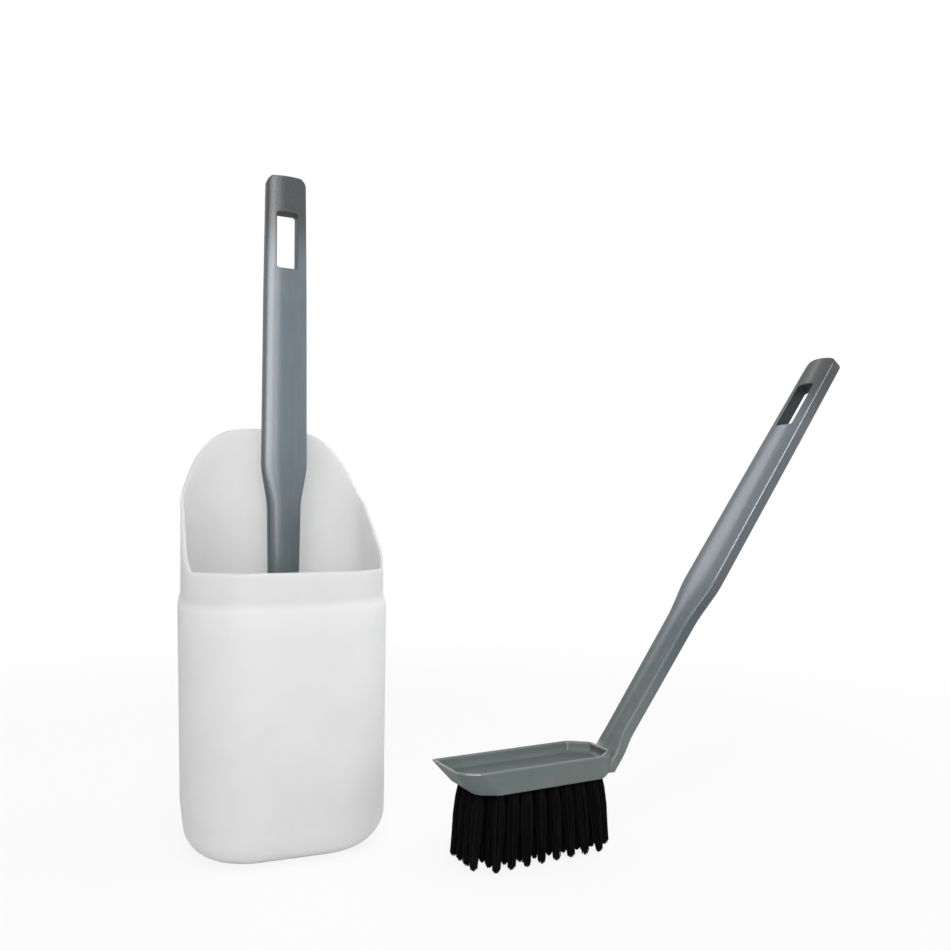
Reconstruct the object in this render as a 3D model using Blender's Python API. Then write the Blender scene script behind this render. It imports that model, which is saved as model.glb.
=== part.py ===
"""Toilet brush stored in its tall plastic holder, with the set's second brush beside it.

Each brush is one grey moulding, a head with a long bent handle, that carries rows of black
bristles. The holder is a white tub with a high arched back. Lengths are in metres and angles
in radians. Z is up, the holder's front faces -Y, and the origin is the middle of its base.
"""
import math

import bmesh
import bpy
from mathutils import Matrix, Vector

# Holder: a thin tub on a rounded plan, with large corners at the front
holder_width = 0.107
holder_wall = 0.0020
holder_floor = 0.0030
front_corner_radius = 0.037
back_corner_radius = 0.038
base_edge_radius = 0.018
side_draft = 0.0012
front_rim_height = 0.1465
shoulder_height = 0.1835
back_rim_height = 0.2275

# A small step under the rim, where the wall of the upper part draws in
step_height = 0.1300
step_rise = 0.0030
step_inset = 0.0015

# Brush head: a shallow tray on a thick sole. Both corners at the handle and one at the nose
# are cut off, and the nose's other corner stays full so that it reaches under a toilet's rim
head_length = 0.093
head_width = 0.037
head_thickness = 0.0125
end_overhang = 0.011
side_overhang = 0.002
corner_cut_length = 0.010
corner_cut_depth = 0.0085
nose_cut_length = 0.010
nose_cut_depth = 0.0060
tray_depth = 0.0055
tray_wall = 0.0022

# Handle: a flat bar that rises from the head, narrow at its neck and wide at its shoulder
handle_rise = math.radians(53.3)
handle_length = 0.278
handle_thickness = 0.0087
root_width = 0.0160
neck_width = 0.0188
shoulder_width = 0.0259
shoulder_from_tip = 0.170
neck_below_shoulder = 0.020
grip_width = 0.0245
grip_from_tip = 0.067
tip_width = 0.0228
tip_corner_radius = 0.0045
front_crown = 0.0026
front_bevel = 0.0012
back_bevel = 0.0008

# Hanging slot through the handle, and the pockets that core the handle out from behind
slot_width = 0.0118
slot_length = 0.0320
slot_from_tip = 0.0215
slot_draft = 0.0004
pocket_wall = 0.0022
pocket_from_root = 0.016
pocket_rib = 0.0016
pocket_count = 5

# Bristles: rows of tufts across the sole, each row on a slice of the sole
row_count = 10
tufts_across = 5
tufts_in_first_row = 3
tufts_in_last_row = 4
first_row = 0.0074
row_pitch = 0.0078
tuft_pitch = 0.0062
strand_size = 0.0019
strand_pitch = 0.0023
tip_size = 0.0015
tip_pitch = 0.0028
bristle_length = 0.038
splay_along = 0.0040
splay_across = 0.0024
slice_width = 0.0050
slice_margin = 0.0004
slice_depth = 0.0028

# How the pieces lie together
fit_gap = 0.0003
brush_clearance = 0.0025
rest_gap = 0.0004
stored_offset = 0.0058
stored_lean = math.radians(0.35)
stored_turn = math.radians(4)
beside_gap = 0.0145
beside_forward = 0.0145
beside_turn = math.radians(7)
overrun = 0.004

# Shares that shape the rim and the handle's crowned front, and the arcs
climb_start_share = 0.67
climb_curve_share = 0.85
arch_square_share = 3.9
arch_round_share = 0.87
crown_shares = (0.4, 0.75)
corner_segments = 9
side_segments = 5
back_segments = 8
edge_segments = 5
sharp_angle = math.radians(32)

sole_depth = head_thickness + bristle_length
neck_from_tip = shoulder_from_tip + neck_below_shoulder
last_row = first_row + (row_count - 1) * row_pitch
strand_columns = 2

# The brush turns by this much so that its handle stands upright in the holder
upright = math.pi / 2 - handle_rise
forward_reach = head_length * math.cos(upright)
rear_tip = first_row - splay_along - (tip_pitch + tip_size) / 2
backward_reach = sole_depth * math.sin(upright) - rear_tip * math.cos(upright)
holder_depth = forward_reach + backward_reach + 2 * (brush_clearance + holder_wall + step_inset)
holder_front = -holder_depth / 2
holder_back = holder_depth / 2


def clear_scene():
    for thing in list(bpy.data.objects):
        bpy.data.objects.remove(thing, do_unlink=True)


def plastic(name, colour, roughness, alpha=1.0):
    paint = bpy.data.materials.new(name)
    paint.use_nodes = True
    shader = paint.node_tree.nodes["Principled BSDF"]
    shader.inputs["Base Color"].default_value = (*colour, 1.0)
    shader.inputs["Roughness"].default_value = roughness
    shader.inputs["Metallic"].default_value = 0.0
    shader.inputs["Alpha"].default_value = alpha
    paint.diffuse_color = (*colour, alpha)
    return paint


def finished_mesh(name, shape, paint):
    """Turn a closed bmesh into a mesh with outward faces and soft round surfaces."""
    bmesh.ops.recalc_face_normals(shape, faces=shape.faces)
    mesh = bpy.data.meshes.new(name)
    shape.to_mesh(mesh)
    shape.free()
    mesh.materials.append(paint)
    mesh.shade_smooth()
    mesh.set_sharp_from_angle(angle=sharp_angle)
    return mesh


def place(name, mesh, parent=None):
    thing = bpy.data.objects.new(name, mesh)
    bpy.context.scene.collection.objects.link(thing)
    thing.parent = parent
    return thing


def stacked(loops):
    """A closed bmesh from loops of equal length, with a flat cap on the first and the last."""
    shape = bmesh.new()
    rings = [[shape.verts.new(point) for point in loop] for loop in loops]
    count = len(rings[0])
    for lower, upper in zip(rings, rings[1:]):
        for i in range(count):
            j = (i + 1) % count
            shape.faces.new((lower[i], lower[j], upper[j], upper[i]))
    shape.faces.new(list(reversed(rings[0])))
    shape.faces.new(rings[-1])
    return shape


def spread(start, end, pieces):
    """The points of a straight run after its start and before its end."""
    return [start + (end - start) * k / pieces for k in range(1, pieces)]


def plan_loop(inset):
    """The holder's outline seen from above, drawn in by an inset, from its front left corner."""
    half = holder_width / 2 - inset
    front = holder_front + inset
    back = holder_back - inset
    front_radius = max(front_corner_radius - inset, holder_wall)
    back_radius = max(back_corner_radius - inset, holder_wall)
    corners = (
        (half - front_radius, front + front_radius, front_radius, -math.pi / 2),
        (half - back_radius, back - back_radius, back_radius, 0.0),
        (back_radius - half, back - back_radius, back_radius, math.pi / 2),
        (front_radius - half, front + front_radius, front_radius, math.pi),
    )
    runs = (side_segments, back_segments, side_segments, 1)
    loop = []
    for k, (centre_x, centre_y, radius, start) in enumerate(corners):
        for step in range(corner_segments + 1):
            angle = start + math.pi / 2 * step / corner_segments
            loop.append(Vector((centre_x + radius * math.cos(angle), centre_y + radius * math.sin(angle))))
        centre_x, centre_y, radius, start = corners[(k + 1) % len(corners)]
        end = Vector((centre_x + radius * math.cos(start), centre_y + radius * math.sin(start)))
        loop += spread(loop[-1], end, runs[k])
    return loop


def rim_height(x, y):
    """The rim is low at the front, climbs along the sides and arches up over the back."""
    climb_start = holder_front + front_corner_radius * climb_start_share
    climb_end = holder_back - back_corner_radius
    climb = min(max((y - climb_start) / (climb_end - climb_start), 0.0), 1.0)
    shoulder = front_rim_height + (shoulder_height - front_rim_height) * climb ** climb_curve_share
    if y < climb_end:
        return shoulder
    across = min(abs(x) / (holder_width / 2 - step_inset), 1.0)
    arch = (1 - across ** arch_square_share) ** arch_round_share
    return shoulder + (back_rim_height - shoulder) * arch


def wall_inset(height):
    """How far the outer wall lies inside the holder's full plan at a height below the step."""
    return side_draft * (1 - height / step_height)


def level(inset, height):
    return [Vector((point.x, point.y, height)) for point in plan_loop(inset)]


def rim_level(inset):
    outer = plan_loop(step_inset)
    return [
        Vector((point.x, point.y, rim_height(edge.x, edge.y)))
        for point, edge in zip(plan_loop(inset), outer)
    ]


def edge_levels(radius, wall, bottom):
    """Levels round the base edge, from the flat bottom up to the side wall."""
    levels = []
    for k in range(edge_segments + 1):
        angle = math.pi / 2 * k / edge_segments
        height = bottom + radius * (1 - math.cos(angle))
        levels.append(level(wall + radius * (1 - math.sin(angle)), height))
    return levels


def holder_mesh(paint):
    """One thin shell: inside from the floor up, over the rim, and down the outside."""
    inner_radius = base_edge_radius - holder_wall
    base_inset = wall_inset(0.0)
    inside = edge_levels(inner_radius, base_inset + holder_wall, holder_floor)
    inside.append(level(holder_wall, step_height))
    inside.append(level(holder_wall + step_inset, step_height + step_rise))
    inside.append(rim_level(holder_wall + step_inset))
    outside = edge_levels(base_edge_radius, base_inset, 0.0)
    outside.append(level(0.0, step_height))
    outside.append(level(step_inset, step_height + step_rise))
    outside.append(rim_level(step_inset))
    return finished_mesh("holder", stacked(inside + outside[::-1]), paint)


# The handle's own frame runs along its axis, across it, and back from its front face
handle_axis = Vector((0, math.cos(handle_rise), math.sin(handle_rise)))
handle_back = Vector((0, math.sin(handle_rise), -math.cos(handle_rise)))
handle_side = Vector((1, 0, 0))


def on_handle(along, across, depth):
    return handle_axis * along + handle_side * across + handle_back * depth


def handle_half_width(along):
    """Half the handle's width, in straight runs between its named widths."""
    stations = (
        (0.0, root_width),
        (handle_length - neck_from_tip, neck_width),
        (handle_length - shoulder_from_tip, shoulder_width),
        (handle_length - grip_from_tip, grip_width),
        (handle_length, tip_width),
    )
    if along <= 0:
        return root_width / 2
    for (start, narrow), (end, wide) in zip(stations, stations[1:]):
        if along <= end:
            return (narrow + (wide - narrow) * (along - start) / (end - start)) / 2
    return tip_width / 2


def front_depth(along, across):
    """How far the crowned front lies behind its own middle line."""
    return front_crown * (across / handle_half_width(along)) ** 2


def crowned(along, half, depth):
    """Points across half of a face that follows the crowned front at a depth below it."""
    places = [half * share for share in (*crown_shares, 1)]
    return [(across, front_depth(along, across) + depth) for across in places]


def handle_section(along, half):
    """A bar with a crowned front and a small bevel on each edge."""
    right = crowned(along, half - front_bevel, 0.0)
    right += [
        (half, front_depth(along, half) + front_bevel),
        (half, handle_thickness - back_bevel),
        (half - back_bevel, handle_thickness),
    ]
    left = [(-across, depth) for across, depth in reversed(right)]
    return [on_handle(along, across, depth) for across, depth in right + left]


def handle_shape():
    """The handle from inside the head up to its tip, cut off level with the sole."""
    root = -head_thickness
    stops = [root, 0.0]
    stops += [handle_length - back for back in (neck_from_tip, shoulder_from_tip, grip_from_tip)]
    sections = [handle_section(stop, handle_half_width(stop)) for stop in stops]
    straight = handle_length - tip_corner_radius
    for k in range(edge_segments):
        angle = math.pi / 2 * k / edge_segments
        reach = straight + tip_corner_radius * math.sin(angle)
        half = handle_half_width(reach) - tip_corner_radius * (1 - math.cos(angle))
        sections.append(handle_section(reach, half))
    sections.append(handle_section(handle_length, handle_half_width(handle_length) - tip_corner_radius))
    shape = stacked(sections)
    cut = bmesh.ops.bisect_plane(
        shape, geom=shape.verts[:] + shape.edges[:] + shape.faces[:],
        plane_co=(0, 0, -head_thickness), plane_no=(0, 0, -1), clear_outer=True)
    edges = [item for item in cut["geom_cut"] if isinstance(item, bmesh.types.BMEdge)]
    bmesh.ops.contextual_create(shape, geom=edges)
    return shape


def head_outline(depth, inset):
    """The head's outline at a depth below its rim, drawn in by an inset."""
    share = depth / head_thickness
    half = head_width / 2 - side_overhang * share - inset
    far = head_length - end_overhang * share - inset
    near = inset
    shoulder = near + corner_cut_length
    narrow = half - corner_cut_depth
    return [
        Vector((-half, -far, -depth)), Vector((half - nose_cut_depth, -far, -depth)),
        Vector((half, nose_cut_length - far, -depth)), Vector((half, -shoulder, -depth)),
        Vector((narrow, -near, -depth)), Vector((-narrow, -near, -depth)),
        Vector((-half, -shoulder, -depth)),
    ]


def block(corner, opposite):
    """A box between two corners."""
    loops = []
    for z in (corner[2], opposite[2]):
        loops.append([
            Vector((corner[0], corner[1], z)), Vector((opposite[0], corner[1], z)),
            Vector((opposite[0], opposite[1], z)), Vector((corner[0], opposite[1], z)),
        ])
    return stacked(loops)


def slot_cutter():
    """The hanging slot, a little wider at the front than behind."""
    start = handle_length - slot_from_tip - slot_length
    end = handle_length - slot_from_tip
    loops = []
    for depth in (-overrun, handle_thickness + overrun):
        half = slot_width / 2 - slot_draft * depth / handle_thickness
        loops.append([
            on_handle(start, -half, depth), on_handle(start, half, depth),
            on_handle(end, half, depth), on_handle(end, -half, depth),
        ])
    return stacked(loops)


def pocket_cutters():
    """Pockets in the back of the handle, with ribs left between them."""
    end = handle_length - slot_from_tip - slot_length - pocket_wall
    length = (end - pocket_from_root - pocket_rib * (pocket_count - 1)) / pocket_count
    kinks = [handle_length - back for back in (neck_from_tip, shoulder_from_tip, grip_from_tip)]
    cutters = []
    for k in range(pocket_count):
        low = pocket_from_root + k * (length + pocket_rib)
        high = low + length
        stops = [low] + [kink for kink in kinks if low < kink < high] + [high]
        loops = []
        for stop in stops:
            half = handle_half_width(stop) - pocket_wall
            right = crowned(stop, half, pocket_wall)
            right.append((half, handle_thickness + overrun))
            left = [(-across, depth) for across, depth in reversed(right)]
            loops.append([on_handle(stop, across, depth) for across, depth in right + left])
        cutters.append(stacked(loops))
    return cutters


def row_place(row):
    return first_row + row * row_pitch


def row_tufts(row):
    """Fewer tufts stand beside the handle and beside the nose's cut corner."""
    if row == 0:
        return tufts_in_first_row
    return tufts_in_last_row if row == row_count - 1 else tufts_across


def row_shift(row):
    """The last row keeps clear of the nose's cut corner."""
    return (tufts_in_last_row - tufts_across) * tuft_pitch / 2 if row == row_count - 1 else 0.0


def slice_half_length(row):
    return ((row_tufts(row) - 1) * tuft_pitch + strand_pitch + strand_size) / 2 + slice_margin


def groove_cutter(row):
    """The groove in the sole that holds one row's slice."""
    side = slice_half_length(row) + fit_gap
    along = slice_width / 2 + fit_gap
    middle = -row_place(row)
    shift = row_shift(row)
    return block(
        (shift - side, middle - along, -head_thickness - overrun),
        (shift + side, middle + along, slice_depth + fit_gap - head_thickness))


def brush_mesh(paint):
    """The head and the handle joined, then the tray, slot, pockets and grooves cut out."""
    head = stacked([head_outline(head_thickness, 0.0), head_outline(0.0, 0.0)])
    body = place("brush_body", finished_mesh("brush_body", head, paint))
    helpers = [body]

    def change(name, shape, operation):
        tool = place(name, finished_mesh(name, shape, paint))
        tool.hide_render = True
        tool.display_type = "WIRE"
        helpers.append(tool)
        modifier = body.modifiers.new(name, "BOOLEAN")
        modifier.operation = operation
        modifier.object = tool

    change("handle_bar", handle_shape(), "UNION")
    tray = stacked([head_outline(tray_depth, tray_wall), head_outline(-overrun, tray_wall)])
    change("tray_cut", tray, "DIFFERENCE")
    change("slot_cut", slot_cutter(), "DIFFERENCE")
    for k, shape in enumerate(pocket_cutters()):
        change(f"pocket_cut_{k + 1}", shape, "DIFFERENCE")
    for row in range(row_count):
        change(f"groove_cut_{row + 1}", groove_cutter(row), "DIFFERENCE")
    bpy.context.view_layer.update()
    evaluated = body.evaluated_get(bpy.context.evaluated_depsgraph_get())
    mesh = bpy.data.meshes.new_from_object(evaluated)
    mesh.name = "brush_moulding"
    for helper in helpers:
        bpy.data.objects.remove(helper, do_unlink=True)
    mesh.shade_smooth()
    mesh.set_sharp_from_angle(angle=sharp_angle)
    return mesh


def tuft_row_mesh(row, paint):
    """A slice of the sole with a row of tufts, each of four strands that spread to their tips."""
    tufts = row_tufts(row)
    columns = tufts * strand_columns
    middle = -row_place(row)
    shift = row_shift(row)
    step = tuft_pitch / strand_columns
    lines = [shift + (column - columns / 2) * step for column in range(columns + 1)]
    lines[0], lines[-1] = shift - slice_half_length(row), shift + slice_half_length(row)
    shape = bmesh.new()
    grid = []
    for side in (-1, 0, 1):
        y = middle + side * slice_width / 2
        grid.append([shape.verts.new((x, y, -head_thickness)) for x in lines])
    cells = []
    for side, near, far in ((-1, grid[0], grid[1]), (1, grid[1], grid[2])):
        for column in range(columns):
            corners = (near[column], far[column], far[column + 1], near[column + 1])
            cells.append((shape.faces.new(corners), column, side))
    sole_face = [cell for cell, column, side in cells]
    raised = bmesh.ops.extrude_face_region(shape, geom=sole_face, use_keep_orig=True)["geom"]
    corners = [item for item in raised if isinstance(item, bmesh.types.BMVert)]
    bmesh.ops.translate(shape, verts=corners, vec=(0, 0, slice_depth))
    lid = [item for item in raised if isinstance(item, bmesh.types.BMFace)]
    bmesh.ops.dissolve_faces(shape, faces=lid)

    row_share = 2 * row / (row_count - 1) - 1
    for cell, column, side_y in cells:
        tuft, strand = divmod(column, strand_columns)
        side_x = 1 if strand else -1
        tuft_x = shift + (tuft - (tufts - 1) / 2) * tuft_pitch
        fan_share = 2 * tuft_x / ((tufts_across - 1) * tuft_pitch)
        root = Vector((tuft_x + side_x * strand_pitch / 2, middle + side_y * strand_pitch / 2))
        tip = Vector((
            tuft_x + side_x * tip_pitch / 2 + fan_share * splay_across,
            middle + side_y * tip_pitch / 2 - row_share * splay_along))
        bmesh.ops.inset_individual(shape, faces=[cell], thickness=slice_margin)
        move_face(cell, root, strand_size, -head_thickness)
        end = bmesh.ops.extrude_discrete_faces(shape, faces=[cell])["faces"][0]
        move_face(end, tip, tip_size, -sole_depth)
    return finished_mesh(f"tuft_row_{row + 1}", shape, paint)


def move_face(face, centre, size, height):
    """Put a four-sided face on a square of the given size."""
    middle = face.calc_center_median()
    for vert in face.verts:
        vert.co.x = centre.x + math.copysign(size / 2, vert.co.x - middle.x)
        vert.co.y = centre.y + math.copysign(size / 2, vert.co.y - middle.y)
        vert.co.z = height


def sole_corners():
    """The outermost corners of the bristle tips in the brush's own frame."""
    side = (tufts_across - 1) / 2 * tuft_pitch + splay_across + (tip_pitch + tip_size) / 2
    far = last_row + splay_along + (tip_pitch + tip_size) / 2
    return [Vector((x, -y, -sole_depth)) for x in (-side, side) for y in (rear_tip, far)]


def build_brush(prefix, moulding, rows, frame):
    """One brush: an empty where the handle meets the head, with the moulding and its rows on it."""
    anchor = bpy.data.objects.new(f"{prefix}_frame", None)
    bpy.context.scene.collection.objects.link(anchor)
    anchor.matrix_world = frame
    place(f"{prefix}_moulding", moulding, anchor)
    for k, mesh in enumerate(rows):
        place(f"{prefix}_tuft_row_{k + 1:02d}", mesh, anchor)


def main():
    clear_scene()
    white = plastic("milky_plastic", (0.80, 0.81, 0.80), 0.38)
    grey = plastic("grey_plastic", (0.17, 0.20, 0.21), 0.34)
    black = plastic("black_bristle", (0.012, 0.012, 0.013), 0.45)
    place("holder", holder_mesh(white))
    moulding = brush_mesh(grey)
    rows = [tuft_row_mesh(row, black) for row in range(row_count)]

    stand_up = Matrix.Rotation(stored_lean, 4, "Y") @ Matrix.Rotation(stored_turn, 4, "Z")
    stand_up = stand_up @ Matrix.Rotation(upright, 4, "X")
    lowest = min((stand_up @ corner).z for corner in sole_corners())
    stored_y = holder_front + holder_wall + step_inset + brush_clearance + forward_reach
    stored_place = Matrix.Translation((stored_offset, stored_y, holder_floor + rest_gap - lowest))
    build_brush("stored_brush", moulding, rows, stored_place @ stand_up)

    beside_x = holder_width / 2 + beside_gap + head_length
    beside_y = holder_front - beside_forward
    beside_place = Matrix.Translation((beside_x, beside_y, sole_depth))
    turn = Matrix.Rotation(beside_turn - math.pi / 2, 4, "Z")
    build_brush("second_brush", moulding, rows, beside_place @ turn)


main()
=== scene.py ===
"""Toilet brush in its tall milky holder, with the matching brush standing beside it."""
import math
import random

import bmesh
import bpy
from mathutils import Matrix, Vector


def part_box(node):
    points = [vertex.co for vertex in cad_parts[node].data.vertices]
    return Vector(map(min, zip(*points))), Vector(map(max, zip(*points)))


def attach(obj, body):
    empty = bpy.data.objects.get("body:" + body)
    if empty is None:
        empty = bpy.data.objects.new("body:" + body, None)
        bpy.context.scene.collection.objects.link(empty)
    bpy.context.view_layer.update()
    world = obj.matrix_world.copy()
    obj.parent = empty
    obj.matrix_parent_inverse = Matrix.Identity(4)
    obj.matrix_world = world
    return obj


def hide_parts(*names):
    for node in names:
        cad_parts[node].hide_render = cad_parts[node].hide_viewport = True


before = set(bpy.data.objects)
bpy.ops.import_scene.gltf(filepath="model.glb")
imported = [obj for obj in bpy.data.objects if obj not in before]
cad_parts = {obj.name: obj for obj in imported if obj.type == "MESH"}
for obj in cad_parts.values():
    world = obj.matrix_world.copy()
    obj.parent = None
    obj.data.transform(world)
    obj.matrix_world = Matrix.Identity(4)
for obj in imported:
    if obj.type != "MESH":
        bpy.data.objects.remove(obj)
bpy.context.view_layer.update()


# The brush moulding: one piece of mid-grey polypropylene, head and handle together. It is
# injection moulded, with a tray in its top, a hanging slot near the tip, and pockets behind
# that keep the thick handle from sinking. The same moulding is used twice.
head_length = 0.093
head_width = 0.037
head_thickness = 0.0125
end_overhang = 0.011
side_overhang = 0.002
corner_cut_length = 0.010
corner_cut_depth = 0.0085
nose_cut_length = 0.010
nose_cut_depth = 0.0060
nose_point_radius = 0.0013
nose_cut_radius = 0.0075
side_corner_radius = 0.0060
root_corner_radius = 0.0016
sole_edge = 0.0009
rim_edge = 0.0010
tray_depth = 0.0055
tray_wall = 0.0022
tray_fillet = 0.0030

handle_rise = math.radians(53.3)
handle_length = 0.278
handle_thickness = 0.0087
# Distance from the handle's root, and width there: at root, neck, shoulder, grip and tip
handle_widths = (
    (0.0, 0.0160),
    (0.088, 0.0188),
    (0.108, 0.0259),
    (0.211, 0.0245),
    (0.278, 0.0228),
)
kink_softness = 0.0035
front_crown = 0.0026
front_edge = 0.0015
back_edge = 0.0008
tip_corner_radius = 0.0045
tip_edge = 0.0009
root_flare = 0.0020
root_flare_length = 0.0140
station_pitch = 0.0030

slot_width = 0.0118
slot_length = 0.0320
slot_from_tip = 0.0215
slot_corner = 0.0014
slot_edge = 0.0006
pocket_wall = 0.0022
pocket_from_root = 0.016
pocket_rib = 0.0016
pocket_count = 5
pocket_edge = 0.0004
cut_margin = 0.00003
overrun = 0.004
arc_steps = 6
edge_steps = 3
sole_steps = 4
fillet_steps = 5
front_steps = 11
tip_steps = 8
crown_steps = 6
moulding_sharp_angle = math.radians(34)

tuft_rows = 10
tufts_across = 5
tufts_in_first_row = 3
tufts_in_last_row = 4
first_row = 0.0074
row_pitch = 0.0078
tuft_pitch = 0.0062
hole_radius = 0.0022
hole_depth = 0.0026
hole_edge = 0.0003
hole_sides = 12

handle_axis = Vector((0, math.cos(handle_rise), math.sin(handle_rise)))
handle_back = Vector((0, math.sin(handle_rise), -math.cos(handle_rise)))
handle_side = Vector((1, 0, 0))


class Wire:
    """A shader node's output. Sums, differences and products of wires add Math nodes."""

    def __init__(self, tree, socket=None):
        self.tree = tree
        self.socket = socket

    def node(self, kind, settings, inputs, output=0):
        """A new node of any kind: settings first, then values or links for its sockets."""
        made = self.tree.nodes.new(kind)
        for name, value in settings.items():
            setattr(made, name, value)
        for name, value in inputs.items():
            if isinstance(value, Wire):
                self.tree.links.new(value.socket, made.inputs[name])
            else:
                made.inputs[name].default_value = value
        return Wire(self.tree, made.outputs[output])

    def math(self, operation, *values):
        return self.node("ShaderNodeMath", {"operation": operation}, dict(enumerate(values)))

    def __add__(self, other):
        return self.math("ADD", self, other)

    __radd__ = __add__

    def __mul__(self, other):
        return self.math("MULTIPLY", self, other)

    __rmul__ = __mul__

    def __sub__(self, other):
        return self.math("SUBTRACT", self, other)

    def __rsub__(self, other):
        return self.math("SUBTRACT", other, self)

    def noise(self, where, size, detail=2.0, roughness=0.5):
        """Noise from 0 to 1 whose blotches are about this many metres across."""
        values = {"Vector": where, "Scale": 1 / size, "Detail": detail, "Roughness": roughness}
        return self.node("ShaderNodeTexNoise", {}, values)

    def band(self, low, high):
        """0 below low, 1 above high, smooth between them."""
        settings = {"interpolation_type": "SMOOTHSTEP", "clamp": True}
        values = {"Value": self, "From Min": low, "From Max": high}
        return self.node("ShaderNodeMapRange", settings, values)

    def mix(self, first, second):
        """The first colour where this wire is 0 and the second where it is 1."""
        values = {0: self, 6: first, 7: second}
        return self.node("ShaderNodeMix", {"data_type": "RGBA"}, values, output=2)

    def attribute(self, name, output="Fac"):
        """What the mesh keeps for each point or face: a number, or else a Vector."""
        return self.node("ShaderNodeAttribute", {"attribute_name": name}, {}, output)

    def axis(self, where, letter):
        """One coordinate of a place: X, Y or Z."""
        return self.node("ShaderNodeSeparateXYZ", {}, {0: where}, letter)

    def bump(self, height):
        """The surface's normal, tilted by a height in metres."""
        values = {"Height": height, "Strength": 1.0, "Distance": 1.0}
        return self.node("ShaderNodeBump", {}, values)

    def feed(self, socket):
        self.tree.links.new(self.socket, socket)


def plastic(name, constants):
    """A new material, a wire to build its nodes from, and its Principled shader."""
    made = bpy.data.materials.new(name)
    made.use_nodes = True
    shader = made.node_tree.nodes["Principled BSDF"]
    for socket, value in constants.items():
        shader.inputs[socket].default_value = value
    return made, Wire(made.node_tree), shader


def rounded(corners, radii, steps=arc_steps, between=0):
    """A flat outline whose corners are arcs, with points between them on the straight runs."""
    outline = []
    for k, corner in enumerate(corners):
        back = (corners[k - 1] - corner).normalized()
        ahead = (corners[(k + 1) % len(corners)] - corner).normalized()
        half = back.angle(ahead) / 2
        centre = corner + (back + ahead).normalized() * radii[k] / math.sin(half)
        reach = radii[k] / math.tan(half)
        first = corner + back * reach - centre
        last = corner + ahead * reach - centre
        arc = [centre + first.slerp(last, step / steps) * radii[k] for step in range(steps + 1)]
        if outline and between:
            start = outline[-1]
            outline += [start.lerp(arc[0], step / (between + 1)) for step in range(1, between + 1)]
        outline += arc
    start = outline[-1]
    outline += [start.lerp(outline[0], step / (between + 1)) for step in range(1, between + 1)]
    return outline


def skin(loops):
    """A closed bmesh over loops of equal length, with a flat face on the first and the last."""
    shape = bmesh.new()
    rings = [[shape.verts.new(point) for point in loop] for loop in loops]
    for lower, upper in zip(rings, rings[1:]):
        for k in range(len(lower)):
            shape.faces.new((lower[k - 1], lower[k], upper[k], upper[k - 1]))
    shape.faces.new(rings[0])
    shape.faces.new(rings[-1])
    bmesh.ops.recalc_face_normals(shape, faces=shape.faces)
    return shape


def add_object(name, mesh):
    thing = bpy.data.objects.new(name, mesh)
    bpy.context.scene.collection.objects.link(thing)
    return thing


def quarter(steps):
    """Sine and cosine pairs over a quarter turn."""
    turns = [math.pi / 2 * k / steps for k in range(steps + 1)]
    return [(math.sin(turn), math.cos(turn)) for turn in turns]


def head_loop(depth, inset):
    """The head's outline at a depth below its rim, drawn in by an inset."""
    share = depth / head_thickness
    half = head_width / 2 - side_overhang * share - inset
    far = head_length - end_overhang * share - inset
    shoulder = inset + corner_cut_length
    narrow = half - corner_cut_depth
    corners = [
        Vector((-half, -far)), Vector((half - nose_cut_depth, -far)),
        Vector((half, nose_cut_length - far)), Vector((half, -shoulder)),
        Vector((narrow, -inset)), Vector((-narrow, -inset)), Vector((-half, -shoulder)),
    ]
    radii = (
        nose_point_radius, nose_cut_radius, nose_cut_radius, side_corner_radius,
        root_corner_radius, root_corner_radius, side_corner_radius,
    )
    outline = rounded(corners, [max(radius - inset, rim_edge) for radius in radii])
    return [Vector((point.x, point.y, -depth)) for point in outline]


def head_shape():
    """The head's outside, from the sole up to the flat of its rim."""
    levels = []
    for s, c in quarter(sole_steps):
        levels.append((head_thickness - sole_edge * (1 - c), sole_edge * (1 - s)))
    for s, c in quarter(edge_steps):
        levels.append((rim_edge * (1 - s), rim_edge * (1 - c)))
    return skin([head_loop(depth, inset) for depth, inset in levels])


def tray_cutter():
    """The tray, with a fillet round its floor and a rounded inner edge at the rim."""
    levels = []
    for s, c in quarter(fillet_steps):
        levels.append((tray_depth - tray_fillet * (1 - c), tray_wall + tray_fillet * (1 - s)))
    for s, c in quarter(edge_steps):
        levels.append((rim_edge * (1 - s), tray_wall - rim_edge * (1 - c)))
    levels.append((-overrun, tray_wall - rim_edge))
    return skin([head_loop(depth, inset) for depth, inset in levels])


def on_handle(along, across, depth):
    return handle_axis * along + handle_side * across + handle_back * depth


def handle_half_width(along):
    """Half the handle's width, with its kinks softened by an average over a short run."""
    total = 0.0
    shifts = (-1.0, -0.5, 0.0, 0.5, 1.0)
    for shift in shifts:
        place = min(max(along + shift * kink_softness, 0.0), handle_length)
        for (start, narrow), (end, wide) in zip(handle_widths, handle_widths[1:]):
            if place <= end:
                total += narrow + (wide - narrow) * (place - start) / (end - start)
                break
    return total / len(shifts) / 2


def behind_crown(along, across, depth):
    """A depth moved back with the crowned front, fully at the front and not at all behind."""
    share = across / handle_half_width(along)
    return depth + front_crown * share ** 2 * (1 - depth / handle_thickness)


def handle_section(along, half, shrink=0.0):
    """The bar's outline: a crowned front with softly rounded edges, and small edges behind."""
    swell = min(max(1 - along / root_flare_length, 0.0), 1.0)
    half += root_flare * swell * swell * (3 - 2 * swell) - shrink
    front = shrink
    back = handle_thickness - shrink
    corners = [
        Vector((-half, front)), Vector((half, front)), Vector((half, back)), Vector((-half, back)),
    ]
    radii = (front_edge, front_edge, back_edge, back_edge)
    outline = rounded(corners, radii, steps=fillet_steps, between=front_steps)
    return [on_handle(along, point.x, behind_crown(along, point.x, point.y)) for point in outline]


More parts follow.
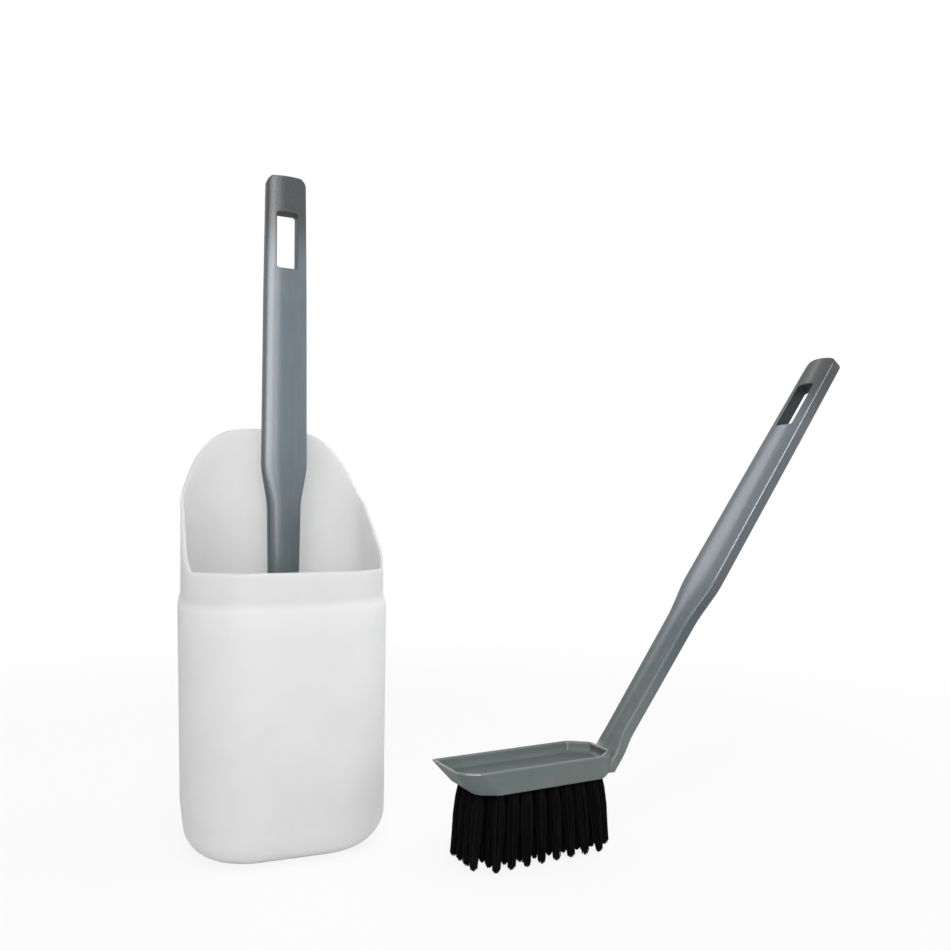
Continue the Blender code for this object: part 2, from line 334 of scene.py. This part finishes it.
def handle_shape():
    """The bar from inside the head to its rounded tip, cut off just above the sole."""
    straight = handle_length - tip_corner_radius
    count = round((straight + head_thickness) / station_pitch)
    stops = [(straight + head_thickness) * k / count - head_thickness for k in range(count)]
    sections = [handle_section(stop, handle_half_width(stop)) for stop in stops]
    for s, c in quarter(tip_steps):
        reach = min(straight + tip_corner_radius * s, handle_length - tip_edge)
        half = handle_half_width(reach) - tip_corner_radius * (1 - c)
        sections.append(handle_section(reach, half))
        if reach >= handle_length - tip_edge:
            break
    for s, c in quarter(sole_steps)[1:]:
        reach = handle_length - tip_edge * (1 - s)
        sections.append(handle_section(reach, half - tip_edge * (1 - c) / 2, tip_edge * (1 - c)))
    shape = skin(sections)
    cut = bmesh.ops.bisect_plane(
        shape, geom=shape.verts[:] + shape.edges[:] + shape.faces[:],
        plane_co=(0, 0, sole_edge / 2 - head_thickness), plane_no=(0, 0, -1), clear_outer=True)
    edges = [item for item in cut["geom_cut"] if isinstance(item, bmesh.types.BMEdge)]
    bmesh.ops.contextual_create(shape, geom=edges)
    bmesh.ops.recalc_face_normals(shape, faces=shape.faces)
    return shape


def slot_cutter():
    """The hanging slot, with rounded corners and an edge that flares at both faces."""
    low = handle_length - slot_from_tip - slot_length
    high = handle_length - slot_from_tip
    levels = [(-overrun, slot_edge)]
    for s, c in quarter(edge_steps):
        levels.append((slot_edge * (1 - c) - cut_margin, slot_edge * (1 - s)))
    behind = [(handle_thickness - depth, grow) for depth, grow in reversed(levels)]
    loops = []
    for depth, grow in levels + behind:
        half = slot_width / 2 + grow
        corners = [
            Vector((low - grow, -half)), Vector((low - grow, half)),
            Vector((high + grow, half)), Vector((high + grow, -half)),
        ]
        outline = rounded(corners, [slot_corner + grow] * 4)
        loops.append([on_handle(p.x, p.y, behind_crown(p.x, p.y, depth)) for p in outline])
    return skin(loops)


def pocket_cutters():
    """Pockets in the back of the handle, with thin ribs left between them."""
    end = handle_length - slot_from_tip - slot_length - pocket_wall
    length = (end - pocket_from_root - pocket_rib * (pocket_count - 1)) / pocket_count
    pockets = []
    for k in range(pocket_count):
        low = pocket_from_root + k * (length + pocket_rib)
        steps = round(length / station_pitch)
        loops = []
        for stop in [low + length * step / steps for step in range(steps + 1)]:
            half = handle_half_width(stop) - pocket_wall
            reach = half - pocket_edge
            places = [reach * step / crown_steps for step in range(1, crown_steps + 1)]
            right = [(across, pocket_wall + behind_crown(stop, across, 0.0)) for across in places]
            right += [
                (half, right[-1][1] + pocket_edge),
                (half, handle_thickness - pocket_edge),
                (half + pocket_edge + overrun, handle_thickness + overrun),
            ]
            left = [(-across, depth) for across, depth in reversed(right)]
            loops.append([on_handle(stop, across, depth) for across, depth in right + left])
        pockets.append(skin(loops))
    return pockets


def tuft_roots(row):
    """Where a row's tufts leave the sole. The last row keeps clear of the nose's cut corner."""
    tufts = tufts_across
    shift = 0.0
    if row == 0:
        tufts = tufts_in_first_row
    elif row == tuft_rows - 1:
        tufts = tufts_in_last_row
        shift = (tufts - tufts_across) * tuft_pitch / 2
    y = -first_row - row * row_pitch
    return [Vector((shift + (k - (tufts - 1) / 2) * tuft_pitch, y)) for k in range(tufts)]


def hole_cutters():
    """One blind round hole for each tuft, with a small chamfer at the sole."""
    levels = (
        (head_thickness + overrun, hole_radius + hole_edge),
        (head_thickness, hole_radius + hole_edge),
        (head_thickness - hole_edge, hole_radius),
        (head_thickness - hole_depth, hole_radius),
    )
    turns = [2 * math.pi * k / hole_sides for k in range(hole_sides)]
    shape = bmesh.new()
    for row in range(tuft_rows):
        for root in tuft_roots(row):
            rings = []
            for depth, radius in levels:
                ring = []
                for turn in turns:
                    x = root.x + radius * math.cos(turn)
                    y = root.y + radius * math.sin(turn)
                    ring.append(shape.verts.new((x, y, -depth)))
                rings.append(ring)
            for lower, upper in zip(rings, rings[1:]):
                for k in range(hole_sides):
                    shape.faces.new((lower[k - 1], lower[k], upper[k], upper[k - 1]))
            shape.faces.new(rings[0])
            shape.faces.new(rings[-1])
    bmesh.ops.recalc_face_normals(shape, faces=shape.faces)
    return shape


def to_mesh(name, shape):
    mesh = bpy.data.meshes.new(name)
    shape.to_mesh(mesh)
    shape.free()
    return mesh


def moulding_mesh():
    """Head and handle joined, then the slot, the pockets and the tuft holes cut out."""
    body = add_object("moulding", to_mesh("moulding", head_shape()))
    cutters = [tray_cutter(), slot_cutter(), *pocket_cutters(), hole_cutters()]
    tools = [("UNION", handle_shape())] + [("DIFFERENCE", cutter) for cutter in cutters]
    helpers = [body]
    for operation, shape in tools:
        tool = add_object("tool", to_mesh("tool", shape))
        helpers.append(tool)
        boolean = body.modifiers.new("join", "BOOLEAN")
        boolean.operation = operation
        boolean.object = tool
    bpy.context.view_layer.update()
    finished = body.evaluated_get(bpy.context.evaluated_depsgraph_get())
    mesh = bpy.data.meshes.new_from_object(finished)
    for helper in helpers:
        bpy.data.objects.remove(helper, do_unlink=True)
    mesh.materials.clear()
    mesh.shade_smooth()
    mesh.set_sharp_from_angle(angle=moulding_sharp_angle)
    return mesh


def keep_local_place(mesh):
    """Stores each point's place in the brush's own frame, which the finish is drawn in.

    Each face also keeps how far it is turned to a side or to the tip, for the painted side shade.
    """
    layer = mesh.attributes.new("brush_place", "FLOAT_VECTOR", "POINT")
    for point, value in zip(mesh.vertices, layer.data):
        value.vector = point.co
    layer = mesh.attributes.new("side_face", "FLOAT", "FACE")
    for face, value in zip(mesh.polygons, layer.data):
        value.value = max(abs(face.normal.x), face.normal.dot(handle_axis))


grey_plastic, wire, shader = plastic("satin_grey_plastic", {
    "IOR": 1.49,
    "Specular IOR Level": 0.15,
    "Coat IOR": 1.65,
    "Coat Roughness": 0.22,
})
head_grey = (0.098, 0.130, 0.118, 1)
bar_grey = (0.092, 0.126, 0.156, 1)
cloud_grey = (0.120, 0.150, 0.170, 1)
streak_grey = (0.068, 0.096, 0.114, 1)
patch_grey = (0.140, 0.138, 0.132, 1)
tip_painted_shade_grey = (0.037, 0.037, 0.036, 1)
painted_side_shade_grey = (0.032, 0.038, 0.043, 1)
slot_painted_shade_grey = (0.030, 0.034, 0.032, 1)
# How strongly each tone covers the ones before it
cloud_share = 0.4
streak_share = 0.4
patch_share = 0.45
patch_share_lost_on_bar = 0.25
tip_shade_share = 0.6
tip_shade_share_from_grain = 0.5
painted_side_shade_share = 0.65
slot_shade_share = 0.75
# The sizes of the blotches, and the levels of noise between which they come up
cloud_size = 0.018
cloud_levels = (0.3, 0.7)
streak_size = 0.0022
streak_stretch = 0.06
streak_levels = (0.35, 0.75)
patch_size = 0.011
patch_levels = (0.42, 0.66)
grain_size = 0.0009
grain_height = 0.000009
streak_height = 0.000012
# Distances along the handle, and from the slot and the rim, over which the tone changes
head_to_bar = (0.02, 0.10)
gloss_start = (0.07, 0.125)
tip_start = (-0.034, 0.004)
slot_line = (0.0001, 0.0004)
rim_line_depths = (-0.0012, -0.0006)
rim_line_end = 0.004
# How far a face turns to the side, as painted shade darkens it, or from the eye, as its gloss
# fades
side_shade_turn = (0.5, 0.95)
slant_turn = (0.3, 0.75)
head_roughness = 0.42
roughness_lost_on_bar = 0.12
roughness_from_clouds = 0.12
roughness_from_grain = 0.08
gloss_lost_at_slant = 0.95
gloss_on_neck = 0.45
gloss_lost_at_tip = 0.4

# The finish is drawn in the brush's own frame: along its handle, across it, up from its rim
place = wire.attribute("brush_place", "Vector")
along = wire.node(
    "ShaderNodeVectorMath", {"operation": "DOT_PRODUCT"}, {0: place, 1: handle_axis}, "Value")
across = wire.axis(place, "X")
flow = wire.node("ShaderNodeCombineXYZ", {}, {"X": across, "Y": along * streak_stretch})
cloudy = wire.noise(place, cloud_size, detail=3.0)
streaks = wire.noise(flow, streak_size)
patches = wire.noise(place, patch_size, roughness=0.55).band(*patch_levels)
grain = wire.noise(place, grain_size, roughness=0.6)

# Where the tone changes: from head to bar, and on the rim; painted shade at the tip, in the slot
# and on the sides
slot_top = handle_length - slot_from_tip
slot_middle = slot_top - slot_length / 2
tip_shade = along.band(slot_top + tip_start[0], slot_top + tip_start[1])
neck_shade = along.band(*head_to_bar)
beside_slot = across.math("ABSOLUTE", across).band(*[slot_width / 2 + past for past in slot_line])
from_middle = along.math("ABSOLUTE", along - slot_middle)
beyond_slot = from_middle.band(*[slot_length / 2 + past for past in slot_line])
in_slot = (1.0 - beside_slot) * (1.0 - beyond_slot)
on_rim = wire.axis(place, "Z").band(*rim_line_depths) * (1.0 - along.band(0.0, rim_line_end))
painted_side_shade = wire.attribute("side_face").band(*side_shade_turn) * neck_shade

base = neck_shade.mix(head_grey, bar_grey)
base = (cloudy.band(*cloud_levels) * cloud_share).mix(base, cloud_grey)
base = (streaks.band(*streak_levels) * streak_share).mix(base, streak_grey)
base = (patches * (patch_share - patch_share_lost_on_bar * neck_shade)).mix(base, patch_grey)
# Painted shade darkens the tip beyond the slot, unevenly with the grain
base = (tip_shade * (tip_shade_share + tip_shade_share_from_grain * grain)).mix(base, tip_painted_shade_grey)
# Painted shade: the faces turned to the sides of the bar and to its tip are darkened
base = (painted_side_shade * painted_side_shade_share).mix(base, painted_side_shade_grey)
# Painted shade darkens the walls inside the slot
base = (in_slot * slot_shade_share).mix(base, slot_painted_shade_grey)
base.feed(shader.inputs["Base Color"])
roughness = head_roughness - roughness_lost_on_bar * neck_shade
roughness += roughness_from_clouds * cloudy + roughness_from_grain * grain
roughness.feed(shader.inputs["Roughness"])

# The satin gloss fades on faces that are seen at a slant, on the neck and at the tip
turned_away = wire.node("ShaderNodeLayerWeight", {}, {"Blend": 0.5}, "Facing")
gloss = (1.0 - gloss_lost_at_slant * turned_away.band(*slant_turn)) * (1.0 - in_slot)
gloss *= gloss_on_neck + (1.0 - gloss_on_neck) * along.band(*gloss_start)
gloss *= 1.0 - gloss_lost_at_tip * tip_shade
gloss.math("MAXIMUM", gloss, on_rim).feed(shader.inputs["Coat Weight"])
wire.bump(grain * grain_height + streaks * streak_height).feed(shader.inputs["Normal"])

body_mesh = moulding_mesh()
keep_local_place(body_mesh)

# One brush stands on its nose in the holder, and the other on its bristles beside it
holder_low, holder_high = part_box("holder")
holder_wall = 0.0020
holder_floor = 0.0030
step_inset = 0.0015
brush_clearance = 0.0025
stored_offset = 0.0058
stored_lean = math.radians(0.35)
stored_turn = math.radians(4)
bristle_length = 0.038
beside_gap = 0.0145
beside_forward = 0.0145
beside_turn = math.radians(7)

stand_up = Matrix.Rotation(stored_lean, 4, "Y") @ Matrix.Rotation(stored_turn, 4, "Z")
stand_up = stand_up @ Matrix.Rotation(math.pi / 2 - handle_rise, 4, "X")
stored_y = holder_low.y + holder_wall + step_inset + brush_clearance
stored_y += head_length * math.sin(handle_rise)
tip_top = max((stand_up @ point.co).z for point in body_mesh.vertices)
stored_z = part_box("stored_brush_moulding")[1].z - tip_top
stored_place = Matrix.Translation((stored_offset, stored_y, stored_z)) @ stand_up
beside_x = holder_high.x + beside_gap + head_length
beside_y = holder_low.y - beside_forward
beside_z = head_thickness + bristle_length
beside_place = Matrix.Translation((beside_x, beside_y, beside_z))
beside_place = beside_place @ Matrix.Rotation(beside_turn - math.pi / 2, 4, "Z")
brush_places = {"stored_brush": stored_place, "second_brush": beside_place}


def put_on_brush(name, mesh, brush, material, node):
    """A copy of a mesh in a brush's place, riding on that brush in place of a node."""
    mesh = mesh.copy()
    mesh.transform(brush_places[brush])
    mesh.materials.append(material)
    piece = add_object(name, mesh)
    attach(piece, brush)
    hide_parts(node)
    return piece


for brush in brush_places:
    name = f"{brush}_body"
    node = f"{brush}_moulding"
    piece = put_on_brush(name, body_mesh, brush, grey_plastic, node)
    weighted = piece.modifiers.new("flat_faces", "WEIGHTED_NORMAL")
    weighted.keep_sharp = True


# The bristles: tufts of black nylon filament, folded over and driven into the sole's holes.
# Each tuft opens as it leaves its hole, presses on its neighbours above its middle, and is
# cut to a blunt rounded end. The outer rows and columns lean outwards.
filaments_per_tuft = 62
filament_radius = 0.00029
filament_sides = 3
filament_stops = (0.0, 0.25, 0.5, 0.75, 0.93, 0.99, 1.0)
filament_fullness = (1.0, 1.0, 1.0, 1.0, 1.0, 0.85, 0.4)
root_spread = 0.0018
full_spread = 0.0033
tip_spread = 0.0020
fullest_share = 0.38
splay_along = 0.0040
splay_across = 0.0024
outer_trim = 0.0026
trim_scatter = 0.0005
trim_curve_share = 2.4
lean_scatter = 0.00022
lean_curve_share = 1.15
turn_scatter = 0.3
root_depth_share = 0.8
dark_filament = (0.002, 0.002, 0.0023, 1)
light_filament = (0.008, 0.008, 0.008, 1)
filament_roughness = 0.52
roughness_scatter = 0.16
golden_turn = math.pi * (3 - math.sqrt(5))
sole = -head_thickness
tips = -head_thickness - bristle_length


def tuft_spread(share):
    """A tuft's radius: it swells from its hole, then draws in again towards its tip."""
    if share < fullest_share:
        opening = math.sin(share / fullest_share * math.pi / 2)
        return root_spread + (full_spread - root_spread) * opening
    down = (share - fullest_share) / (1 - fullest_share)
    return full_spread + (tip_spread - full_spread) * (1 - math.cos(down * math.pi)) / 2


def bristle_mesh(row):
    """All the filaments of one row of tufts, each a closed strand with a rounded end."""
    dice = random.Random(row)
    shape = bmesh.new()
    shade = shape.verts.layers.float.new("filament_shade")
    row_share = 2 * row / (tuft_rows - 1) - 1
    half_across = (tufts_across - 1) / 2 * tuft_pitch
    for root in tuft_roots(row):
        tip = root + Vector((root.x / half_across * splay_across, -row_share * splay_along))
        for k in range(filaments_per_tuft):
            place = math.sqrt((k + 0.5) / filaments_per_tuft)
            turn = k * golden_turn + dice.uniform(-turn_scatter, turn_scatter)
            trim = outer_trim * place ** trim_curve_share + dice.uniform(0, trim_scatter)
            lean = Vector((dice.gauss(0, lean_scatter), dice.gauss(0, lean_scatter)))
            tone = dice.random()
            start = sole + hole_depth * root_depth_share
            rings = []
            for share, fullness in zip(filament_stops, filament_fullness):
                middle = root.lerp(tip + lean, share ** lean_curve_share)
                reach = place * tuft_spread(share)
                radius = filament_radius * fullness
                x = middle.x + reach * math.cos(turn)
                y = middle.y + reach * math.sin(turn)
                z = start + (tips + trim - start) * share
                ring = []
                for side in range(filament_sides):
                    angle = turn + 2 * math.pi * side / filament_sides
                    point = (x + radius * math.cos(angle), y + radius * math.sin(angle), z)
                    vert = shape.verts.new(point)
                    vert[shade] = tone
                    ring.append(vert)
                rings.append(ring)
            for upper, lower in zip(rings, rings[1:]):
                for side in range(filament_sides):
                    shape.faces.new((upper[side - 1], upper[side], lower[side], lower[side - 1]))
            shape.faces.new(rings[0])
            shape.faces.new(rings[-1])
    bmesh.ops.recalc_face_normals(shape, faces=shape.faces)
    mesh = to_mesh(f"bristles_{row + 1:02d}", shape)
    mesh.shade_smooth()
    return mesh


black_nylon, wire, shader = plastic("black_nylon", {"IOR": 1.53, "Specular IOR Level": 0.05})
tone = wire.attribute("filament_shade")
tone.mix(dark_filament, light_filament).feed(shader.inputs["Base Color"])
(filament_roughness + roughness_scatter * tone).feed(shader.inputs["Roughness"])

for row in range(tuft_rows):
    bristles = bristle_mesh(row)
    for brush in brush_places:
        name = f"{brush}_bristles_{row + 1:02d}"
        node = f"{brush}_tuft_row_{row + 1:02d}"
        put_on_brush(name, bristles, brush, black_nylon, node)


# The holder: one thin tub of milky polypropylene, moulded open end up. Its wall draws in at
# a soft step under the rim, which is rounded over, climbs along the sides and arches up over
# the back. A wide curve leads into its base, which is recessed round the mark of the gate.
holder_width = holder_high.x - holder_low.x
front_corner_radius = 0.037
back_corner_radius = 0.038
base_edge_radius = 0.018
side_draft = 0.0012
front_rim_height = 0.1465
shoulder_height = 0.1835
step_low = 0.1255
step_high = 0.1335
climb_start_share = 0.67
climb_curve_share = 0.85
arch_square_share = 3.9
arch_round_share = 0.87
foot_inset = 0.0225
foot_slope = 0.0015
foot_recess = 0.0007
gate_radius = 0.0035
gate_height = 0.0004
lip_radius = holder_wall / 2
corner_steps = 26
flat_steps = 14
base_steps = 10
wall_steps = 8
curve_steps = 8
tub_sharp_angle = math.radians(50)


def plan_loop(inset):
    """The tub's outline from above, drawn in by an inset, from its front right corner."""
    half = holder_width / 2 - inset
    front = holder_low.y + inset
    back = holder_high.y - inset
    ahead = max(front_corner_radius - inset, holder_wall)
    behind = max(back_corner_radius - inset, holder_wall)
    corners = (
        (half - ahead, front + ahead, ahead, -math.pi / 2),
        (half - behind, back - behind, behind, 0.0),
        (behind - half, back - behind, behind, math.pi / 2),
        (ahead - half, front + ahead, ahead, math.pi),
    )
    loop = []
    for x, y, radius, start in corners:
        for step in range(corner_steps + 1):
            angle = start + math.pi / 2 * step / corner_steps
            loop.append(Vector((x + radius * math.cos(angle), y + radius * math.sin(angle))))
    full = []
    for k, point in enumerate(loop):
        full.append(point)
        if (k + 1) % (corner_steps + 1) == 0:
            after = loop[(k + 1) % len(loop)]
            full += [point.lerp(after, step / flat_steps) for step in range(1, flat_steps)]
    return full


def rim_height(x, y):
    """Low at the front, climbing along the sides and arched over the back."""
    start = holder_low.y + front_corner_radius * climb_start_share
    end = holder_high.y - back_corner_radius
    climb = min(max((y - start) / (end - start), 0.0), 1.0)
    rise = shoulder_height - front_rim_height
    shoulder = front_rim_height + rise * climb ** climb_curve_share
    if y < end:
        return shoulder
    across_share = min(abs(x) / (holder_width / 2 - step_inset), 1.0)
    arch = (1 - across_share ** arch_square_share) ** arch_round_share
    return shoulder + (holder_high.z - shoulder) * arch


rim_line = [rim_height(point.x, point.y) for point in plan_loop(step_inset)]


def tub_loop(inset, height):
    return [Vector((point.x, point.y, height)) for point in plan_loop(inset)]


def under_rim_loop(inset, share, drop=0.0):
    """A loop that lies a share of the way from the step to the rim, less a drop."""
    heights = [step_high + (rim - drop - step_high) * share for rim in rim_line]
    return [Vector((point.x, point.y, height)) for point, height in zip(plan_loop(inset), heights)]


def wall_loops(inset, radius, bottom):
    """One face of the wall, from the edge of the flat bottom up to just under the rim."""
    base_inset = inset + side_draft
    loops = []
    for s, c in quarter(base_steps):
        loops.append(tub_loop(base_inset + radius * (1 - s), bottom + radius * (1 - c)))
    start = bottom + radius
    for k in range(1, wall_steps + 1):
        height = start + (step_low - start) * k / wall_steps
        draft = side_draft * (step_low - height) / (step_low - start)
        loops.append(tub_loop(inset + draft, height))
    for k in range(1, curve_steps + 1):
        turn = math.pi * k / curve_steps
        height = step_low + (step_high - step_low) * k / curve_steps
        loops.append(tub_loop(inset + step_inset * (1 - math.cos(turn)) / 2, height))
    for k in range(1, wall_steps + 1):
        loops.append(under_rim_loop(inset + step_inset, k / wall_steps, lip_radius))
    return loops


def gate_loop(radius, height):
    """A circle with as many points as the tub's outline."""
    outline = plan_loop(base_edge_radius)
    return [Vector((*point.normalized() * radius, height)) for point in outline]


def holder_mesh():
    """The whole tub: its recessed underside, the outside, over the lip, and down the inside."""
    outside = [
        gate_loop(gate_radius - gate_height, foot_recess - gate_height),
        gate_loop(gate_radius, foot_recess - gate_height),
        gate_loop(gate_radius, foot_recess),
        tub_loop(foot_inset + foot_slope, foot_recess),
        tub_loop(foot_inset, 0.0),
    ]
    outside += wall_loops(0.0, base_edge_radius, 0.0)
    inside = wall_loops(holder_wall, base_edge_radius - holder_wall, holder_floor)
    over = []
    for k in range(1, curve_steps):
        turn = math.pi * k / curve_steps
        inset = step_inset + lip_radius * (1 - math.cos(turn))
        over.append(under_rim_loop(inset, 1.0, lip_radius * (1 - math.sin(turn))))
    shape = skin(outside + over + inside[::-1])
    shape.verts.ensure_lookup_table()
    outer_share = shape.verts.layers.float.new("outer_share")
    lip_share = shape.verts.layers.float.new("lip_share")
    points = len(outside[0])
    for k in range(len(outside) * points):
        shape.verts[k][outer_share] = 1.0
    for k in range(len(outside) * points, (len(outside) + len(over)) * points):
        shape.verts[k][lip_share] = 1.0
    mesh = to_mesh("tub", shape)
    mesh.shade_smooth()
    mesh.set_sharp_from_angle(angle=tub_sharp_angle)
    return mesh


milky_plastic, wire, shader = plastic("milky_plastic", {
    "IOR": 1.49,
    "Specular IOR Level": 0.2,
    "Transmission Weight": 0.12,
    "Subsurface Weight": 1.0,
    "Subsurface Radius": (1.0, 1.0, 1.0),
    "Subsurface Scale": 0.007,
})
deep_milk = (0.865, 0.865, 0.86, 1)
clear_milk = (0.92, 0.92, 0.915, 1)
step_highlight_milk = (0.99, 0.99, 0.985, 1)
dim_milk = (0.66, 0.66, 0.655, 1)
lip_painted_shade_milk = (0.62, 0.62, 0.615, 1)
step_highlight_share = 0.6
dim_share = 0.7
inside_share = 0.35
lip_shade_share = 0.9
# Heights over which a highlight is painted under the step, and the milk darkens above it and
# inside
step_highlight_rise = (step_low - 0.012, step_low - 0.001)
dim_rise = (step_low + 0.002, step_high)
inside_rise = (0.172, 0.215)
milk_cloud_size = 0.045
peel_size = 0.0035
peel_height = 0.00003
milk_grain_size = 0.0007
milk_grain_height = 0.000012
milk_roughness = 0.30
milk_roughness_from_clouds = 0.10
milk_roughness_from_grain = 0.05

place = wire.node("ShaderNodeTexCoord", {}, {}, "Object")
rise = wire.axis(place, "Z")
clouds = wire.noise(place, milk_cloud_size, detail=3.0)
peel = wire.noise(place, peel_size, detail=1.0)
grain = wire.noise(place, milk_grain_size, roughness=0.6)
lip_share = wire.attribute("lip_share")
outer_share = wire.attribute("outer_share")
under_step_highlight = outer_share * rise.band(*step_highlight_rise)
above_step = outer_share * rise.band(*dim_rise)
above_step *= 1.0 - rise.band(front_rim_height, shoulder_height)
high_inside = (1.0 - outer_share) * rise.band(*inside_rise)

milk = clouds.band(*cloud_levels).mix(deep_milk, clear_milk)
# Painted highlight: the outside just under the step is lightened
milk = (under_step_highlight * step_highlight_share).mix(milk, step_highlight_milk)
# Darker on the outside above the step, fading out higher up, and darker high on the inside
milk = (above_step * dim_share).mix(milk, dim_milk)
milk = (high_inside * inside_share).mix(milk, dim_milk)
# Painted shade darkens the rounded lip of the rim
milk = (lip_share * lip_shade_share).mix(milk, lip_painted_shade_milk)
milk.feed(shader.inputs["Base Color"])
roughness = milk_roughness + milk_roughness_from_clouds * clouds
roughness += milk_roughness_from_grain * grain
roughness.feed(shader.inputs["Roughness"])
wire.bump(peel * peel_height + grain * milk_grain_height).feed(shader.inputs["Normal"])

tub = add_object("holder_tub", holder_mesh())
tub.data.materials.append(milky_plastic)
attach(tub, "holder")
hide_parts("holder")


# The studio: a plain pale floor under a white surround that is duller on the left. A broad
# soft lamp lights the set from the front left and another fills from the right, and narrow
# ones draw the gleams down the handles.
floor_half = 4.0
floor_drop = 0.0002
floor_mesh = bpy.data.meshes.new("floor")
floor_mesh.from_pydata(
    [(-floor_half, -floor_half, 0), (floor_half, -floor_half, 0),
     (floor_half, floor_half, 0), (-floor_half, floor_half, 0)],
    [], [(0, 1, 2, 3)])
floor = add_object("studio_floor", floor_mesh)
floor.location.z = -floor_drop

floor_greys = ((0.80, 0.80, 0.80, 1), (0.83, 0.83, 0.83, 1))
mottle_size = 0.25
pure_white = (1, 1, 1, 1)
white_share = 0.86
all_white_from = (0.3, 0.9)

# Where the camera sees it, the floor is mostly white, and all white away from the object
pale_floor, wire, shader = plastic("pale_floor", {"Roughness": 0.9, "Specular IOR Level": 0.1})
spot = wire.node("ShaderNodeTexCoord", {}, {}, "Object")
wire.noise(spot, mottle_size).mix(*floor_greys).feed(shader.inputs["Base Color"])
distance = wire.node("ShaderNodeVectorMath", {"operation": "LENGTH"}, {0: spot}, "Value")
seen = wire.node("ShaderNodeLightPath", {}, {}, "Is Camera Ray")
white = wire.node("ShaderNodeEmission", {}, {"Color": pure_white, "Strength": 1.0})
shaded = Wire(pale_floor.node_tree, shader.outputs[0])
whiteness = seen * (white_share + (1.0 - white_share) * distance.band(*all_white_from))
blend = wire.node("ShaderNodeMixShader", {}, {0: whiteness, 1: shaded, 2: white})
blend.feed(pale_floor.node_tree.nodes["Material Output"].inputs["Surface"])
floor_mesh.materials.append(pale_floor)

# The surround is white to the camera, in gloss and through the milky wall. The light that it
# throws on the set is duller from the left than from the right
dull_left = (0.36, 0.36, 0.365, 1)
bright_right = (0.94, 0.94, 0.945, 1)
surround = bpy.data.worlds.new("surround")
surround.use_nodes = True
sky = Wire(surround.node_tree)
seen = sky.node("ShaderNodeLightPath", {}, {}, "Is Camera Ray")
mirrored = sky.node("ShaderNodeLightPath", {}, {}, "Is Glossy Ray")
through = sky.node("ShaderNodeLightPath", {}, {}, "Is Transmission Ray")
plain = seen.math("MAXIMUM", seen, mirrored.math("MAXIMUM", mirrored, through))
rightward = sky.axis(sky.node("ShaderNodeTexCoord", {}, {}, "Generated"), "X")
ambient = rightward.band(-1.0, 1.0).mix(dull_left, bright_right)
tint = plain.mix(ambient, pure_white)
tint.feed(surround.node_tree.nodes["Background"].inputs["Color"])
bpy.context.scene.world = surround

lamp_aim = Vector((0.08, 0.0, 0.15))


def lamp(name, bearing, rise, distance, size, level, lights=True, gleams=True):
    """A soft lamp, seen from the set at a bearing left of the front and a rise in degrees.

    The level is the brightness that it alone gives a white card that faces it. One that does
    not light is only mirrored in glossy surfaces, and one that does not gleam is not.
    """
    light = bpy.data.lights.new(name, "AREA")
    light.shape = "RECTANGLE"
    light.size, light.size_y = size
    light.energy = level * (math.pi * distance) ** 2
    thing = add_object(name, light)
    turn = math.radians(bearing)
    lift = math.radians(rise)
    flat = math.cos(lift)
    toward = Vector((-math.sin(turn) * flat, -math.cos(turn) * flat, math.sin(lift)))
    thing.location = lamp_aim + toward * distance
    thing.rotation_euler = toward.to_track_quat("Z", "Y").to_euler()
    thing.visible_diffuse = lights
    thing.visible_glossy = gleams


lamp("left_key", bearing=24, rise=16, distance=1.6, size=(1.2, 1.2), level=0.30, gleams=False)
lamp("left_gleam", bearing=22, rise=12, distance=1.6, size=(0.30, 1.2), level=0.32, lights=False)
lamp("front_strip", bearing=8, rise=14, distance=2.0, size=(0.16, 1.1), level=0.07)
lamp("right_fill", bearing=-78, rise=2, distance=2.0, size=(1.2, 1.2), level=0.35, gleams=False)
lamp("overhead", bearing=10, rise=60, distance=1.8, size=(0.5, 0.5), level=0.20)
lamp("back_gleam", bearing=160, rise=45, distance=1.8, size=(1.0, 1.0), level=0.20, lights=False)
lamp("edge_gleam", bearing=19, rise=50, distance=1.8, size=(0.4, 0.4), level=0.18, lights=False)

# The camera looks level from in front of the holder and a little left, turned to the right
camera = add_object("camera", bpy.data.cameras.new("camera"))
picture_size = 951
focal_pixels = 888
horizon_row = 515
camera_across = -0.0696
camera_distance = 0.4408
camera_height = 0.175
camera_turn = -0.355
camera.location = (camera_across, holder_low.y - camera_distance, camera_height)
camera.rotation_euler = (math.pi / 2, 0, camera_turn)
camera.data.sensor_width = 36
camera.data.lens = camera.data.sensor_width * focal_pixels / picture_size
camera.data.shift_y = (horizon_row - picture_size / 2) / picture_size
bpy.context.scene.camera = camera

bpy.context.scene.view_settings.view_transform = "Standard"
